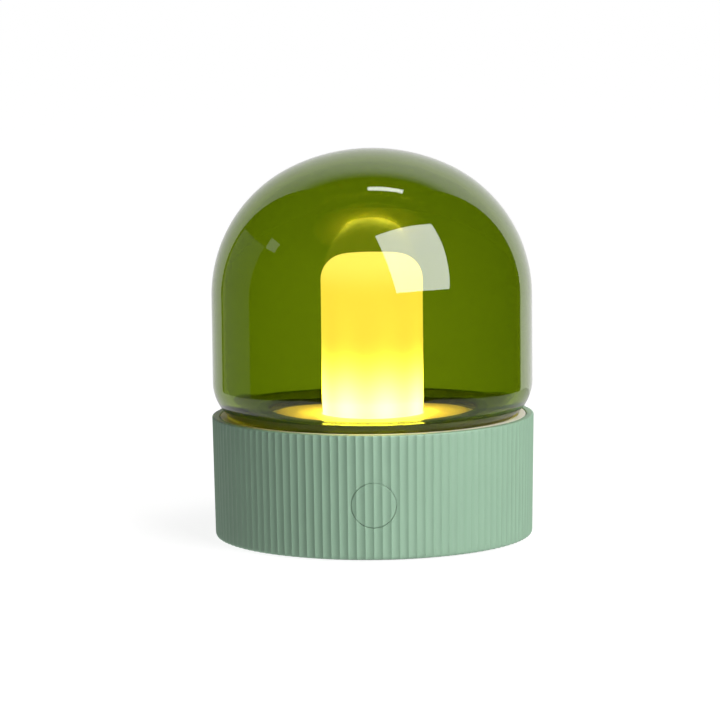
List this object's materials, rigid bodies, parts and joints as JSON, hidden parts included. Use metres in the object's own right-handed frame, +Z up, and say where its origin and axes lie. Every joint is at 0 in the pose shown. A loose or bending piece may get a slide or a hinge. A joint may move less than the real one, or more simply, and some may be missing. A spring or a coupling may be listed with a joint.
{
  "type": "table lamp",
  "caption": "Rechargeable table lamp: a thick coloured glass bell stands on a round ribbed base over a frosted glowing candle-shaped diffuser, with a flush push button in front.",
  "frame": {"origin": "middle of the face that the lamp stands on, under its rubber foot", "axes": "+Z up along the lamp's axis, -Y out through the push button, +Y out through the charging slot"},
  "size_m": [0.14, 0.14, 0.1688],
  "materials": {
    "olive_glass": "polished, clear olive-green glass",
    "sage_plastic": "fine matt, sage green",
    "off_white_plastic": "satin, off-white",
    "gold_reflector": "satin, warm gold",
    "opal_diffuser": "frosted, lit from within",
    "silicone": "soft, translucent",
    "foot_rubber": "matt",
    "dark_plastic": "matt",
    "natural_plastic": "satin",
    "aluminium": "brushed",
    "steel": "plated",
    "green_board": "solder mask",
    "white_board": "white solder mask",
    "led_phosphor": "phosphor under clear silicone",
    "cell_wrap": "shrink film",
    "red_insulation": "lead insulation",
    "black_insulation": "lead insulation"
  },
  "bodies": {
    "base": {"bell_gasket": "silicone", "base_sleeve": "sage_plastic", "seat_deck": "off_white_plastic", "reflector_disc": "gold_reflector", "light_diffuser": "opal_diffuser", "led_carrier": "aluminium", "led_board": "white_board", "bottom_cover": "dark_plastic", "foot_ring": "foot_rubber", "battery_cradle": "dark_plastic", "battery_cell_1": "cell_wrap", "battery_cell_2": "cell_wrap", "cell_strip_positive": "steel", "cell_strip_negative": "steel", "main_board": "green_board", "charging_socket": "steel", "socket_tongue": "dark_plastic", "charge_controller": "dark_plastic", "power_inductor": "dark_plastic", "battery_connector": "natural_plastic", "led_connector": "natural_plastic", "button_frame": "dark_plastic", "switch_board": "green_board", "switch_body": "dark_plastic", "led_1": "led_phosphor", "led_2": "led_phosphor", "led_3": "led_phosphor", "led_4": "led_phosphor", "led_5": "led_phosphor", "led_6": "led_phosphor", "led_7": "led_phosphor", "led_8": "led_phosphor", "carrier_screw_1": "steel", "carrier_screw_2": "steel", "carrier_screw_3": "steel", "cover_screw_1": "steel", "board_screw_1": "steel", "cover_screw_2": "steel", "board_screw_2": "steel", "cover_screw_3": "steel", "board_screw_3": "steel", "cover_screw_4": "steel", "board_screw_4": "steel", "battery_lead_red": "red_insulation", "battery_lead_black": "black_insulation", "led_lead_red": "red_insulation", "led_lead_black": "black_insulation", "switch_lead_red": "red_insulation", "switch_lead_black": "black_insulation"},
    "bell": {"glass_bell": "olive_glass"},
    "button": {"button_cap": "sage_plastic"},
    "plunger": {"switch_plunger": "natural_plastic"}
  },
  "joints": [
    {"name": "bell_lift", "type": "slide", "parent": "base", "child": "bell", "axis": [0, 0, 1], "range_m": [0, 0.09]},
    {"name": "button_press", "type": "slide", "parent": "base", "child": "button", "axis": [0, 1, 0], "range_m": [0, 0.0008], "stiffness_N_per_m": 2000},
    {"name": "plunger_press", "type": "slide", "parent": "base", "child": "plunger", "axis": [0, 1, 0], "range_m": [0, 0.0008]}
  ],
  "couplings": [
    {"joint": "plunger_press", "follows": "button_press", "ratio": 1}
  ]
}
